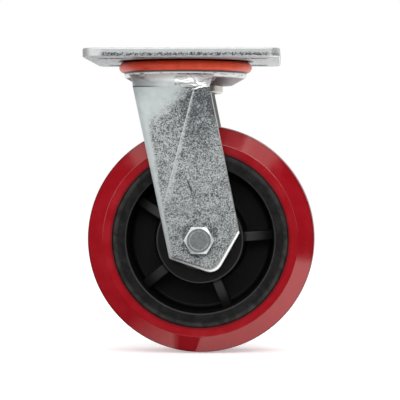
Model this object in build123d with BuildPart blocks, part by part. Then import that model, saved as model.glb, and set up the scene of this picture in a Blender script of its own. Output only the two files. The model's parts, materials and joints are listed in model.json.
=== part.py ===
from build123d import *
import os
from math import acos, cos, radians, sin, tan

# Swivel castor with a double ball-race swivel head, a one-piece pressed fork and a
# polyurethane wheel on a moulded core.
#
# Frame: the origin is on the swivel axis at the top face of the plate, +Z points up,
# +X points from the swivel axis towards the wheel axis, and +Y runs along the axle.
# "left" is the -Y side and "right" the +Y side.

os.makedirs("parts", exist_ok=True)


def keep(part, name):
    """Label a finished piece and write its file."""
    part.label = name
    export_step(part, f"parts/{name}.step")


# ---------------------------------------------------------------- driving dimensions
wheel_diameter = 125.0
overall_height = 165.0
swivel_offset = 9.0  # swivel axis to wheel axis
wheel_radius = wheel_diameter / 2
axle_z = wheel_radius - overall_height

plate_size_x = 105.0
plate_size_y = 114.0
plate_thickness = 5.0
plate_corner_radius = 9.0
plate_edge_round = 0.9
slot_spacing = 76.2
slot_length = 15.0
slot_width = 10.4

boss_radius = 23.0
recess_top_radius = 17.5  # pressed recess round the kingpin's head
recess_floor_radius = 15.5
press_depth = 2.6

fit_gap = 0.05  # between a ball and its race, and round a pin
side_gap = 0.4  # between turning faces that must not rub
cut_room = 1.0  # how far a cutting profile passes the face that it cuts
near = 0.01  # a corner this close to a height lies on it
outward = 0.99  # a face whose normal has this much of a direction faces that way

upper_ball_diameter = 9.525
upper_ball_count = 16
upper_pitch_radius = 25.0
upper_ball_z = -9.5
upper_groove_radius = 5.0

lower_ball_diameter = 4.7625
lower_ball_count = 20
lower_pitch_radius = 15.5
lower_ball_z = -18.0
lower_groove_radius = 2.5

crown_radius = 33.8
crown_spigot_radius = 32.0
crown_spigot_z = -10.4
crown_rim_z = -11.2
crown_rim_foot_z = -13.6
crown_floor_radius = 26.0
crown_floor_z = -18.0
crown_raised_radius = 19.2
crown_raised_top_z = -12.8
crown_raised_foot_z = -16.8
crown_hole_radius = 11.0
crown_rim_round = 2.0
crown_floor_round = 4.0

seal_centre_radius = 33.75
seal_centre_z = -8.3
seal_tube_radius = 2.95

leg_thickness = 4.5
leg_gap = 61.0  # between the inner faces of the legs
leg_top_left = (-27.1, -19.7)
leg_bottom_left = (-7.35, -112.4)
leg_tip = (18.0, -121.2)
leg_right_corner = (30.7, -98.6)
leg_top_right = (14.6, -19.7)
leg_tip_radius = 7.0
leg_edge_round = 3.5  # rolled trailing edge
leg_edge_lip = 1.6  # how far the rolled edge stands inside the leg
leg_edge_width = 4.5
leg_coined_edge = 1.3
leg_sheared_edge = 0.5
crease_top = (6.0, -19.7)  # the outer face leans in behind this diagonal
crease_foot = (-8.7, -78.0)
crease_angle = 1.3

skirt_top_z = -12.5  # the drawn sheet between the crown's rim and a leg
skirt_inset = 0.3
skirt_top_left_x = -31.3
skirt_top_right_x = 17.5
skirt_top_round = 1.5
skirt_middle_z = -15.8
skirt_middle_share = 0.62  # how far its ends have come from the crown to the leg
skirt_middle_round = 2.5
skirt_bulge_x = 5.0  # where the middle section stands out the most

kingpin_head_radius = 13.5
kingpin_head_top_z = -0.4
kingpin_radius = 8.0
kingpin_thread_radius = 6.0
kingpin_shoulder_z = -17.4
kingpin_end_z = -33.5
kingpin_root_radius = 5.2
kingpin_head_bevel = 0.8
thread_lead_in = 0.7
kingpin_nut_across = 19.0
kingpin_nut_height = 8.4
hexagon_bevel_share = 0.9  # bevel's inner circle over the flats' inscribed circle
hexagon_bevel_slope = 30.0

lower_race_radius = 20.65
lower_race_foot_z = -22.6
lower_race_round = 1.3

axle_radius = 4.7625
axle_hole_radius = 4.9
axle_head_across = 14.3
axle_head_height = 6.0
head_recess_radius = 5.2
head_recess_depth = 0.3
head_recess_draft = 40.0
axle_nut_height = 8.2
axle_nut_collar = 3.2
collar_radius = 6.65
collar_root = 0.2  # how deep the collar starts inside the hexagon
collar_round = 0.6
insert_radius = 5.75
insert_height = 2.5
axle_bolt_tail = 2.5  # thread past the nut
axle_root_radius = 4.05

sleeve_radius = 7.45
sleeve_bore = 4.95
spacer_radius = 9.4
washer_radius = 9.7
ring_bevel = 0.3

bearing_bore_radius = 7.5
bearing_outer_radius = 16.0
bearing_width = 9.0
bearing_ball_diameter = 4.7625
bearing_ball_count = 9
bearing_pitch_radius = 11.75
bearing_groove_radius = 2.5
bearing_inner_land = 9.9
bearing_outer_land = 13.7
bearing_inset = 0.5  # bearing's outer face below the hub's face
shield_seat = 0.8  # depth of a shield below the bearing's face
shield_step = 0.6  # half the width cut from a ring for its shield
shield_thickness = 0.45
shield_inner_radius = 10.2
shield_outer_radius = 14.3
inner_step_radius = 10.1
cage_half_width = 3.0
cage_half_thickness = 0.6

hub_length = 56.0
hub_radius = 23.6
hub_root_radius = 24.4
hub_bore_radius = 11.0
rim_half_width = 23.5
rim_outer_radius = 48.0
rim_inner_radius = 40.3
rim_root_radius = 38.8
web_thickness = 6.0
pocket_fillet = 2.5
rib_count = 5
rib_width = 5.3
rib_phase = 3.6
rib_hub_height = 21.0
rib_rim_height = 13.0
rib_root = 1.5  # how deep a rib's ends stand in the hub and the rim
rib_round = 0.9
rim_edge_round = 1.0

tyre_half_width = 24.0
tyre_shoulder_radius = 53.0
tyre_tread_edge = 15.5
tyre_tread_edge_radius = 61.9
tyre_lip_inner = 20.0
tyre_shoulder_round = 0.6
tyre_tread_round = 1.0
tyre_bond_radius = 50.5
bond_groove_depth = 1.4
bond_groove_width = 5.0
bond_groove_pitch = 11.0

# ------------------------------------------------------------------- derived values
leg_inner_y = leg_gap / 2
leg_outer_y = leg_inner_y + leg_thickness
upper_ball_radius = upper_ball_diameter / 2
lower_ball_radius = lower_ball_diameter / 2
bearing_ball_radius = bearing_ball_diameter / 2
bearing_y = hub_length / 2 - bearing_inset - bearing_width / 2
bearing_race_depth = bearing_ball_radius + fit_gap
inner_groove_at = bearing_pitch_radius - bearing_race_depth + bearing_groove_radius
outer_groove_at = bearing_pitch_radius + bearing_race_depth - bearing_groove_radius
wheel_centre = (swivel_offset, 0, axle_z)
wheel_axis = Axis(wheel_centre, (0, 1, 0))

swivel_section = Plane.XZ  # radius across, height up
wheel_section = Plane(origin=wheel_centre, x_dir=(1, 0, 0), z_dir=(0, 0, 1))


def side_plane(y):
    """The plane square to the axle at y: X across, Z up, its normal along -Y."""
    return Plane(origin=(swivel_offset, y, axle_z), x_dir=(1, 0, 0), z_dir=(0, -1, 0))


def leg_plane(y):
    """The same plane with its origin on the swivel axis at the plate's top."""
    return Plane(origin=(0, y, 0), x_dir=(1, 0, 0), z_dir=(0, -1, 0))


# ------------------------------------------------------------------------ top plate
upper_race_top_z = upper_ball_z + upper_ball_radius + fit_gap

with BuildPart() as top_plate:
    with BuildSketch(Plane.XY):
        RectangleRounded(plate_size_x, plate_size_y, plate_corner_radius)
        with GridLocations(slot_spacing, slot_spacing, 2, 2):
            SlotOverall(slot_length, slot_width, mode=Mode.SUBTRACT)
    extrude(amount=-plate_thickness)
    outline_edges = top_plate.faces().sort_by(Axis.Z)[-1].outer_wire().edges()
    outline_edges += top_plate.faces().sort_by(Axis.Z)[0].outer_wire().edges()
    fillet(outline_edges, plate_edge_round)
    # The centre is pressed down, and the upper race is coined round the boss.
    boss_foot_z = -plate_thickness - press_depth
    with BuildSketch(swivel_section):
        with BuildLine():
            Polyline(
                (0, -plate_thickness / 2),
                (boss_radius, -plate_thickness / 2),
                (boss_radius, boss_foot_z),
                (0, boss_foot_z),
                close=True,
            )
        make_face()
    revolve(axis=Axis.Z)
    with BuildSketch(swivel_section):
        with BuildLine():
            Polyline(
                (0, 0),
                (recess_top_radius, 0),
                (recess_floor_radius, -press_depth),
                (0, -press_depth),
                close=True,
            )
        make_face()
        with Locations((upper_pitch_radius, upper_race_top_z - upper_groove_radius)):
            Circle(upper_groove_radius)
    revolve(axis=Axis.Z, mode=Mode.SUBTRACT)
    with Locations((0, 0, 0)):
        Hole(kingpin_radius + fit_gap)
keep(top_plate.part, "top_plate")

# -------------------------------------------------------------------------- kingpin
kingpin_nut_foot_z = lower_race_foot_z - kingpin_nut_height

with BuildPart() as kingpin:
    with BuildSketch(swivel_section):
        with BuildLine():
            Polyline(
                (0, kingpin_head_top_z),
                (kingpin_head_radius - kingpin_head_bevel, kingpin_head_top_z),
                (kingpin_head_radius, kingpin_head_top_z - kingpin_head_bevel),
                (kingpin_head_radius, -press_depth),
                (kingpin_radius, -press_depth),
                (kingpin_radius, kingpin_shoulder_z),
                (kingpin_thread_radius, kingpin_shoulder_z),
                (kingpin_thread_radius, kingpin_nut_foot_z),
                (kingpin_root_radius, kingpin_nut_foot_z),
                (kingpin_root_radius, kingpin_end_z + thread_lead_in),
                (kingpin_root_radius - thread_lead_in, kingpin_end_z),
                (0, kingpin_end_z),
                close=True,
            )
        make_face()
    revolve(axis=Axis.Z)
keep(kingpin.part, "kingpin")

# ----------------------------------------------------------------------- lower race
race_low_z = lower_ball_z - lower_ball_radius - fit_gap

with BuildPart() as lower_race:
    with BuildSketch(swivel_section):
        with BuildLine():
            Polyline(
                (kingpin_thread_radius + fit_gap, kingpin_shoulder_z),
                (lower_pitch_radius, kingpin_shoulder_z),
                (lower_pitch_radius, crown_floor_z - side_gap),
                (lower_race_radius, crown_floor_z - side_gap),
                (lower_race_radius, lower_race_foot_z),
                (kingpin_thread_radius + fit_gap, lower_race_foot_z),
                close=True,
            )
        make_face()
        with Locations((lower_pitch_radius, race_low_z + lower_groove_radius)):
            Circle(lower_groove_radius, mode=Mode.SUBTRACT)
    revolve(axis=Axis.Z)
    fillet(lower_race.faces().sort_by(Axis.Z)[0].outer_wire().edges(), lower_race_round)
keep(lower_race.part, "lower_race")


# ----------------------------------------------------------------------- hexagon nut
def hexagon_blank(plane, across_flats, height):
    """A hexagon prism from the plane along its normal, its corners bevelled at the top."""
    corner_radius = across_flats / 2 / cos(radians(30))
    bevel_radius = across_flats / 2 * hexagon_bevel_share
    bevel_depth = (corner_radius - bevel_radius) * tan(radians(hexagon_bevel_slope))
    with BuildPart() as blank:
        with BuildSketch(plane):
            RegularPolygon(corner_radius, 6)
        extrude(amount=height)
        # Seen in this plane, the prism stands along -Y.
        with BuildSketch(Plane(plane.origin, x_dir=plane.x_dir, z_dir=plane.y_dir)):
            with BuildLine():
                Polyline(
                    (0, 0),
                    (corner_radius, 0),
                    (corner_radius, bevel_depth - height),
                    (bevel_radius, -height),
                    (0, -height),
                    close=True,
                )
            make_face()
        revolve(axis=Axis(plane.origin, plane.z_dir), mode=Mode.INTERSECT)
    return blank.part


with BuildPart() as kingpin_nut:
    nut_seat = Plane((0, 0, lower_race_foot_z), z_dir=(0, 0, -1))
    add(hexagon_blank(nut_seat, kingpin_nut_across, kingpin_nut_height))
    with Locations(nut_seat):
        Hole(kingpin_thread_radius + fit_gap)
keep(kingpin_nut.part, "kingpin_nut")


# ------------------------------------------------------------------------ ball rings
def ball_ring(centre, normal, pitch_radius, ball_radius, count):
    """Balls evenly round a ring, as one group of solids."""
    with BuildPart() as balls:
        with Locations(Plane(centre, z_dir=normal)):
            with PolarLocations(pitch_radius, count):
                Sphere(ball_radius)
    return balls.part


keep(
    ball_ring(
        (0, 0, upper_ball_z), (0, 0, 1), upper_pitch_radius, upper_ball_radius, upper_ball_count
    ),
    "upper_balls",
)
keep(
    ball_ring(
        (0, 0, lower_ball_z), (0, 0, 1), lower_pitch_radius, lower_ball_radius, lower_ball_count
    ),
    "lower_balls",
)

# ------------------------------------------------------------------------------ fork
upper_race_low_z = upper_ball_z - upper_ball_radius - fit_gap
upper_groove_z = upper_race_low_z + upper_groove_radius
lower_groove_z = lower_ball_z + lower_ball_radius + fit_gap - lower_groove_radius


def groove_reach(z):
    """How far the upper race's groove reaches from its pitch radius at height z."""
    return (upper_groove_radius**2 - (z - upper_groove_z) ** 2) ** 0.5


race_inner_edge = (upper_pitch_radius - groove_reach(crown_raised_top_z), crown_raised_top_z)
race_bottom = (upper_pitch_radius, upper_race_low_z)
race_outer_edge = (upper_pitch_radius + groove_reach(crown_spigot_z), crown_spigot_z)

leg_slope = (leg_bottom_left[0] - leg_top_left[0]) / (leg_bottom_left[1] - leg_top_left[1])
leg_top_z = leg_top_left[1]
leg_width = leg_top_right[0] - leg_top_left[0]
skirt_radius = crown_radius - skirt_inset


def leg_left_x(z):
    """The leg's trailing edge at height z."""
    return leg_top_left[0] + leg_slope * (z - leg_top_z)


def angle_at(x):
    """Where the skirt's top circle crosses x, as an angle round the swivel axis."""
    return acos(x / skirt_radius)


with BuildPart() as leg:
    with BuildSketch(leg_plane(leg_inner_y)) as leg_outline:
        with BuildLine():
            Polyline(
                leg_top_left, leg_bottom_left, leg_tip, leg_right_corner, leg_top_right,
                close=True,
            )
        make_face()
        fillet(leg_outline.vertices().sort_by_distance((*leg_tip, 0))[0], leg_tip_radius)
    extrude(amount=-leg_thickness)
    # Behind the diagonal crease the outer face leans in.
    crease = Plane(
        origin=(crease_top[0], leg_outer_y, crease_top[1]),
        x_dir=(crease_foot[0] - crease_top[0], 0, crease_foot[1] - crease_top[1]),
        z_dir=(0, 1, 0),
    )
    split(bisect_by=crease.rotated((crease_angle, 0, 0)), keep=Keep.BOTTOM)
    # The trailing edge is rolled, the foot coined and the leading edge sheared.
    middle_z = (leg_top_z + leg_bottom_left[1]) / 2
    trailing_middle = (leg_left_x(middle_z), leg_outer_y, middle_z)
    fillet(leg.edges().sort_by_distance(trailing_middle)[0], leg_edge_round)
    outer_faces = leg.faces().filter_by(lambda face: face.normal_at().Y > outward)
    foot_edges = outer_faces.edges().filter_by(
        lambda edge: edge.center().Z < leg_right_corner[1]
    )
    fillet(foot_edges, leg_coined_edge)
    leading_middle = (
        (leg_top_right[0] + leg_right_corner[0]) / 2,
        leg_outer_y,
        (leg_top_z + leg_right_corner[1]) / 2,
    )
    fillet(leg.edges().sort_by_distance(leading_middle)[0], leg_sheared_edge)
    # The rolled edge stands a little inside the leg.
    with BuildSketch(leg_plane(leg_inner_y - leg_edge_lip)):
        with BuildLine():
            Polyline(
                leg_top_left,
                leg_bottom_left,
                (leg_bottom_left[0] + leg_edge_width, leg_bottom_left[1]),
                (leg_top_left[0] + leg_edge_width, leg_top_z),
                close=True,
            )
        make_face()
    extrude(amount=-leg_edge_lip)


def skirt_section(z, front, back, corner_round):
    """The skirt cut level at z: a strip between two arcs, its trailing corner rounded."""
    with BuildSketch(Plane.XY.offset(z)) as section:
        with BuildLine():
            ThreePointArc(*front)
            Line(front[2], back[2])
            ThreePointArc(*back)
            Line(back[0], front[0])
        make_face()
        fillet(section.vertices().sort_by_distance((*front[0], 0))[0], corner_round)
    return section.sketch


def on_circle(radius):
    """The skirt's trailing end, middle and leading end, on a circle round the swivel axis."""
    trailing, leading = angle_at(skirt_top_left_x), angle_at(skirt_top_right_x)
    angles = (trailing, (trailing + leading) / 2, leading)
    return [(radius * cos(angle), radius * sin(angle)) for angle in angles]


def between(first, second, share):
    """Points on the way from the first points to the second."""
    return [
        (ax + (bx - ax) * share, ay + (by - ay) * share)
        for (ax, ay), (bx, by) in zip(first, second)
    ]


foot_xs = (leg_top_left[0], leg_top_left[0] + leg_width / 2, leg_top_right[0])
skirt_top_front = on_circle(skirt_radius)
skirt_top_back = on_circle(skirt_radius - leg_thickness)
skirt_foot_front = [(x, leg_outer_y) for x in foot_xs]
skirt_foot_back = [(x, leg_inner_y) for x in foot_xs]
skirt_middle_front = between(skirt_top_front, skirt_foot_front, skirt_middle_share)
skirt_middle_front[1] = (skirt_bulge_x, leg_outer_y)
skirt_middle_back = between(skirt_top_back, skirt_foot_back, skirt_middle_share)

with BuildPart() as skirt:
    with BuildSketch(Plane.XY.offset(leg_top_z)) as skirt_foot:
        with Locations((foot_xs[1], (leg_inner_y + leg_outer_y) / 2)):
            Rectangle(leg_width, leg_thickness)
        corner = (leg_top_left[0], leg_outer_y, 0)
        fillet(skirt_foot.vertices().sort_by_distance(corner)[0], leg_edge_round)
    loft(
        sections=[
            skirt_section(skirt_top_z, skirt_top_front, skirt_top_back, skirt_top_round),
            skirt_section(
                skirt_middle_z, skirt_middle_front, skirt_middle_back, skirt_middle_round
            ),
            skirt_foot.sketch,
        ]
    )

with BuildPart() as fork:
    add(leg.part)
    add(skirt.part)
    mirror(fork.part, about=Plane.XZ)
    # The crown: a drawn bowl with a rim that carries the seal.
    with BuildSketch(swivel_section) as crown_section:
        with BuildLine():
            Polyline(
                (0, crown_spigot_z),
                (crown_spigot_radius, crown_spigot_z),
                (crown_spigot_radius, crown_rim_z),
                (crown_radius, crown_rim_z),
                (crown_radius, crown_rim_foot_z),
                (crown_floor_radius, crown_floor_z),
                (0, crown_floor_z),
                close=True,
            )
        make_face()
        corners = crown_section.vertices()
        rim_foot = corners.sort_by_distance((crown_radius, crown_rim_foot_z, 0))[0]
        floor_edge = corners.sort_by_distance((crown_floor_radius, crown_floor_z, 0))[0]
        fillet(rim_foot, crown_rim_round)
        fillet(floor_edge, crown_floor_round)
    revolve(axis=Axis.Z)
    # The bowl and the two races.
    with BuildSketch(swivel_section):
        with BuildLine():
            Polyline(
                race_inner_edge,
                (0, crown_raised_top_z),
                (0, 0),
                (race_outer_edge[0], 0),
                race_outer_edge,
            )
            ThreePointArc(race_outer_edge, race_bottom, race_inner_edge)
        make_face()
        with BuildLine():
            Polyline(
                (0, crown_raised_top_z + cut_room),
                (crown_hole_radius, crown_raised_top_z + cut_room),
                (crown_hole_radius, crown_raised_foot_z),
                (crown_raised_radius, crown_raised_foot_z),
                (crown_raised_radius, crown_floor_z - cut_room),
                (0, crown_floor_z - cut_room),
                close=True,
            )
        make_face()
        with Locations((lower_pitch_radius, lower_groove_z)):
            Circle(lower_groove_radius)
    revolve(axis=Axis.Z, mode=Mode.SUBTRACT)
    with Locations(side_plane(leg_outer_y)):
        Hole(axle_hole_radius)
keep(fork.part, "fork")

# ------------------------------------------------------------------------ dust seal
seal_foot_z = seal_centre_z - seal_tube_radius - cut_room

with BuildPart() as dust_seal:
    with BuildSketch(swivel_section):
        with Locations((seal_centre_radius, seal_centre_z)):
            Circle(seal_tube_radius)
        with BuildLine():
            Polyline(
                (0, seal_foot_z),
                (seal_centre_radius * 2, seal_foot_z),
                (seal_centre_radius * 2, crown_rim_z),
                (crown_spigot_radius + fit_gap, crown_rim_z),
                (crown_spigot_radius + fit_gap, crown_spigot_z + fit_gap),
                (0, crown_spigot_z + fit_gap),
                close=True,
            )
        make_face(mode=Mode.SUBTRACT)
    revolve(axis=Axis.Z)
keep(dust_seal.part, "dust_seal")

# ---------------------------------------------------------------------- axle fasteners
insert_y = leg_outer_y + axle_nut_height
nut_end_y = insert_y + axle_nut_collar

with BuildPart() as axle_bolt:
    add(hexagon_blank(side_plane(-leg_outer_y), axle_head_across, axle_head_height))
    # A shallow forged recess in the head.
    with BuildSketch(side_plane(-leg_outer_y - axle_head_height)):
        Circle(head_recess_radius)
    extrude(amount=-head_recess_depth, taper=head_recess_draft, mode=Mode.SUBTRACT)
    with BuildSketch(side_plane(-leg_outer_y)):
        Circle(axle_radius)
    extrude(amount=-(leg_outer_y + nut_end_y))
    with BuildSketch(side_plane(nut_end_y)):
        Circle(axle_root_radius)
    extrude(amount=-axle_bolt_tail)
    chamfer(axle_bolt.faces().sort_by(Axis.Y)[-1].edges(), thread_lead_in)
keep(axle_bolt.part, "axle_bolt")

with BuildPart() as axle_nut:
    nut_plane = Plane((swivel_offset, leg_outer_y, axle_z), x_dir=(1, 0, 0), z_dir=(0, 1, 0))
    add(hexagon_blank(nut_plane, axle_head_across, axle_nut_height))
    with BuildSketch(nut_plane.offset(axle_nut_height - collar_root)):
        Circle(collar_radius)
    extrude(amount=axle_nut_collar + collar_root)
    fillet(axle_nut.faces().sort_by(Axis.Y)[-1].edges(), collar_round)
    with BuildSketch(nut_plane):
        Circle(axle_radius + fit_gap)
    extrude(amount=axle_nut_height + axle_nut_collar, mode=Mode.SUBTRACT)
    with BuildSketch(nut_plane.offset(axle_nut_height)):
        Circle(insert_radius)
    extrude(amount=insert_height, mode=Mode.SUBTRACT)
keep(axle_nut.part, "axle_nut")


def axle_ring(inner_radius, outer_radius, start_y, end_y, edge=0.0):
    """A plain turned ring on the axle, its outer edges eased by edge."""
    with BuildPart() as ring:
        with BuildSketch(wheel_section) as section:
            with Locations(((inner_radius + outer_radius) / 2, (start_y + end_y) / 2)):
                Rectangle(outer_radius - inner_radius, end_y - start_y)
            if edge:
                chamfer(section.vertices().group_by(Axis.X)[-1], edge)
        revolve(axis=wheel_axis)
    return ring.part


washer_y = bearing_y + bearing_width / 2
spacer_half = bearing_y - bearing_width / 2
keep(
    axle_ring(axle_radius + fit_gap, insert_radius - fit_gap, insert_y, insert_y + insert_height),
    "axle_nut_insert",
)
keep(axle_ring(sleeve_bore, sleeve_radius, -leg_inner_y, leg_inner_y), "axle_sleeve")
keep(
    axle_ring(bearing_bore_radius, spacer_radius, -spacer_half, spacer_half, ring_bevel),
    "bearing_spacer",
)
keep(
    axle_ring(bearing_bore_radius, washer_radius, -leg_inner_y, -washer_y, ring_bevel),
    "left_hub_washer",
)
keep(
    axle_ring(bearing_bore_radius, washer_radius, washer_y, leg_inner_y, ring_bevel),
    "right_hub_washer",
)


# -------------------------------------------------------------------- wheel bearings
def bearing_ring(centre_y, bore, outside, groove_at, step_at):
    """A turned ring with the balls' groove at one radius and steps for the shields."""
    half = bearing_width / 2
    with BuildPart() as ring:
        with BuildSketch(wheel_section):
            with Locations(((bore + outside) / 2, centre_y)):
                Rectangle(outside - bore, bearing_width)
            with Locations((groove_at, centre_y)):
                Circle(bearing_groove_radius, mode=Mode.SUBTRACT)
            for end in (-1, 1):
                with Locations((step_at, centre_y + end * half)):
                    Rectangle(2 * shield_step, 2 * shield_seat, mode=Mode.SUBTRACT)
        revolve(axis=wheel_axis)
    return ring.part


for side, direction in (("left", -1), ("right", 1)):
    centre_y = direction * bearing_y
    keep(
        bearing_ring(
            centre_y, bearing_bore_radius, bearing_inner_land, inner_groove_at,
            inner_step_radius,
        ),
        f"{side}_bearing_inner_ring",
    )
    keep(
        bearing_ring(
            centre_y, bearing_outer_land, bearing_outer_radius, outer_groove_at,
            bearing_outer_land,
        ),
        f"{side}_bearing_outer_ring",
    )
    keep(
        ball_ring(
            (swivel_offset, centre_y, axle_z), (0, 1, 0), bearing_pitch_radius,
            bearing_ball_radius, bearing_ball_count,
        ),
        f"{side}_bearing_balls",
    )
    with BuildPart() as cage:
        add(
            axle_ring(
                bearing_pitch_radius - cage_half_thickness,
                bearing_pitch_radius + cage_half_thickness,
                centre_y - cage_half_width,
                centre_y + cage_half_width,
            )
        )
        with Locations(Plane((swivel_offset, centre_y, axle_z), z_dir=(0, 1, 0))):
            with PolarLocations(bearing_pitch_radius, bearing_ball_count):
                Cylinder(
                    bearing_ball_radius + 2 * fit_gap,
                    4 * cage_half_thickness,
                    rotation=(0, 90, 0),
                    mode=Mode.SUBTRACT,
                )
    keep(cage.part, f"{side}_bearing_cage")
    with BuildPart() as shields:
        for end in (-1, 1):
            face_y = centre_y + end * (bearing_width / 2 - shield_seat)
            add(
                axle_ring(
                    shield_inner_radius,
                    shield_outer_radius,
                    min(face_y, face_y + end * shield_thickness),
                    max(face_y, face_y + end * shield_thickness),
                )
            )
    keep(shields.part, f"{side}_bearing_shields")

# ------------------------------------------------------------------------ wheel core
bond_groove_offsets = (-bond_groove_pitch, 0, bond_groove_pitch)
half_hub = hub_length / 2
half_web = web_thickness / 2

with BuildPart() as rib:
    with BuildSketch(wheel_section):
        with BuildLine():
            Polyline(
                (hub_radius - rib_root, -rib_hub_height),
                (rim_inner_radius + rib_root, -rib_rim_height),
                (rim_inner_radius + rib_root, rib_rim_height),
                (hub_radius - rib_root, rib_hub_height),
                close=True,
            )
        make_face()
    extrude(amount=rib_width / 2, both=True)
    long_edges = rib.edges().filter_by(
        lambda edge: abs(edge.center().Y) > rib_rim_height and abs(edge.center().Z - axle_z) > near
    )
    fillet(long_edges, rib_round)

with BuildPart() as wheel_core:
    with BuildSketch(wheel_section) as core_section:
        with BuildLine():
            Polyline(
                (hub_bore_radius, -half_hub),
                (hub_radius, -half_hub),
                (hub_root_radius, -half_web),
                (rim_root_radius, -half_web),
                (rim_inner_radius, -rim_half_width),
                (rim_outer_radius, -rim_half_width),
                (rim_outer_radius, -tyre_lip_inner),
                (tyre_bond_radius, -tyre_lip_inner),
                (tyre_bond_radius, tyre_lip_inner),
                (rim_outer_radius, tyre_lip_inner),
                (rim_outer_radius, rim_half_width),
                (rim_inner_radius, rim_half_width),
                (rim_root_radius, half_web),
                (hub_root_radius, half_web),
                (hub_radius, half_hub),
                (hub_bore_radius, half_hub),
                close=True,
            )
        make_face()
        pocket_corners = core_section.vertices().filter_by(
            lambda corner: abs(abs(corner.Y) - half_web) < near
        )
        fillet(pocket_corners, pocket_fillet)
        outer_corners = core_section.vertices().filter_by(
            lambda corner: abs(abs(corner.Y) - rim_half_width) < near
            or abs(abs(corner.Y) - half_hub) < near
            and abs(corner.X - hub_radius) < near
        )
        fillet(outer_corners, rim_edge_round)
        with Locations(*((tyre_bond_radius, y) for y in bond_groove_offsets)):
            Rectangle(bond_groove_depth * 2, bond_groove_width, mode=Mode.SUBTRACT)
    revolve(axis=wheel_axis)
    for index in range(rib_count):
        add(rib.part.rotate(wheel_axis, -rib_phase - index * 360 / rib_count))
    seat_depth = bearing_width + bearing_inset
    for end in (-1, 1):
        with BuildSketch(Plane((swivel_offset, end * half_hub, axle_z), z_dir=(0, -end, 0))):
            Circle(bearing_outer_radius)
        extrude(amount=seat_depth, mode=Mode.SUBTRACT)
keep(wheel_core.part, "wheel_core")

# ------------------------------------------------------------------------------ tyre
with BuildPart() as tyre:
    with BuildSketch(wheel_section) as tyre_section:
        with BuildLine():
            Polyline(
                (tyre_tread_edge_radius, -tyre_tread_edge),
                (tyre_shoulder_radius, -tyre_half_width),
                (rim_outer_radius, -tyre_half_width),
                (rim_outer_radius, -tyre_lip_inner),
                (tyre_bond_radius, -tyre_lip_inner),
                (tyre_bond_radius, tyre_lip_inner),
                (rim_outer_radius, tyre_lip_inner),
                (rim_outer_radius, tyre_half_width),
                (tyre_shoulder_radius, tyre_half_width),
                (tyre_tread_edge_radius, tyre_tread_edge),
            )
            ThreePointArc(
                (tyre_tread_edge_radius, tyre_tread_edge),
                (wheel_radius, 0),
                (tyre_tread_edge_radius, -tyre_tread_edge),
            )
        make_face()
        corners = tyre_section.vertices()
        for end in (-1, 1):
            shoulder = (tyre_shoulder_radius, end * tyre_half_width, 0)
            fillet(corners.sort_by_distance(shoulder)[0], tyre_shoulder_round)
            tread_edge = (tyre_tread_edge_radius, end * tyre_tread_edge, 0)
            fillet(corners.sort_by_distance(tread_edge)[0], tyre_tread_round)
        with Locations(
            *((tyre_bond_radius - bond_groove_depth / 2, y) for y in bond_groove_offsets)
        ):
            Rectangle(bond_groove_depth, bond_groove_width)
    revolve(axis=wheel_axis)
keep(tyre.part, "tyre")
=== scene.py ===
import json
import math

import bpy
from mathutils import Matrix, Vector


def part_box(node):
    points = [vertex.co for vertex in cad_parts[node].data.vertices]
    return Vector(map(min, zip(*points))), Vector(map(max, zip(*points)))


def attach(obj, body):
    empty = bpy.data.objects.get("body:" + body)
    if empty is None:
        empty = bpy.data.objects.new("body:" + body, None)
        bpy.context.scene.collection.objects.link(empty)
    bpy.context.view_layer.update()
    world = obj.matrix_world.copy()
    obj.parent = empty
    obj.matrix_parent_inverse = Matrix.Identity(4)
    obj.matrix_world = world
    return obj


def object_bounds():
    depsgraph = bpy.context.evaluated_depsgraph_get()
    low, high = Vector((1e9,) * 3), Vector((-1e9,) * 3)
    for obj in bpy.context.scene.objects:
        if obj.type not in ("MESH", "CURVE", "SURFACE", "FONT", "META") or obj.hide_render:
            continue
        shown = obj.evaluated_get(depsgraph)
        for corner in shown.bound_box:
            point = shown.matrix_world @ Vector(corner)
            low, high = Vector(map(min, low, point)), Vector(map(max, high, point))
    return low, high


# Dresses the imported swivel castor: procedural finishes on every CAD piece, the fine threads
# on its two bolts, a pale floor, soft studio light and the camera.
#
# Lengths are in metres. The origin is on the swivel axis at the plate's top face, +X points
# towards the axle and +Z up. The camera looks along +Y, at the castor's left side.

MM = 0.001

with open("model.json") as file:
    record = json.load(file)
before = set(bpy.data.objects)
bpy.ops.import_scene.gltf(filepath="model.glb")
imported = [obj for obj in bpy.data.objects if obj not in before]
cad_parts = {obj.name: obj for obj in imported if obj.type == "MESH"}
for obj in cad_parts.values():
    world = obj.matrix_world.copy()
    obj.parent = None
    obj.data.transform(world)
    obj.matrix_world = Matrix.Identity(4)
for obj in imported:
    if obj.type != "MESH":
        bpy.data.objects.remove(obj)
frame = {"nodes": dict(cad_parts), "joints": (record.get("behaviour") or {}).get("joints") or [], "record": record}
nodes = frame["nodes"]
cad_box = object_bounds()
joints = {joint["name"]: joint for joint in frame["joints"]}
axle = Vector(joints["wheel_spin"]["pos_m"])
wheel_radius = (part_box("tyre")[1].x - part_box("tyre")[0].x) / 2
floor_z = cad_box[0].z
plate_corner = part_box("top_plate")[1]
seal_middle = (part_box("dust_seal")[0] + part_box("dust_seal")[1]) / 2
seal_half_height = (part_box("dust_seal")[1].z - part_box("dust_seal")[0].z) / 2


def mm(*lengths):
    """Millimetres as metres."""
    return tuple(length * MM for length in lengths)


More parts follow.
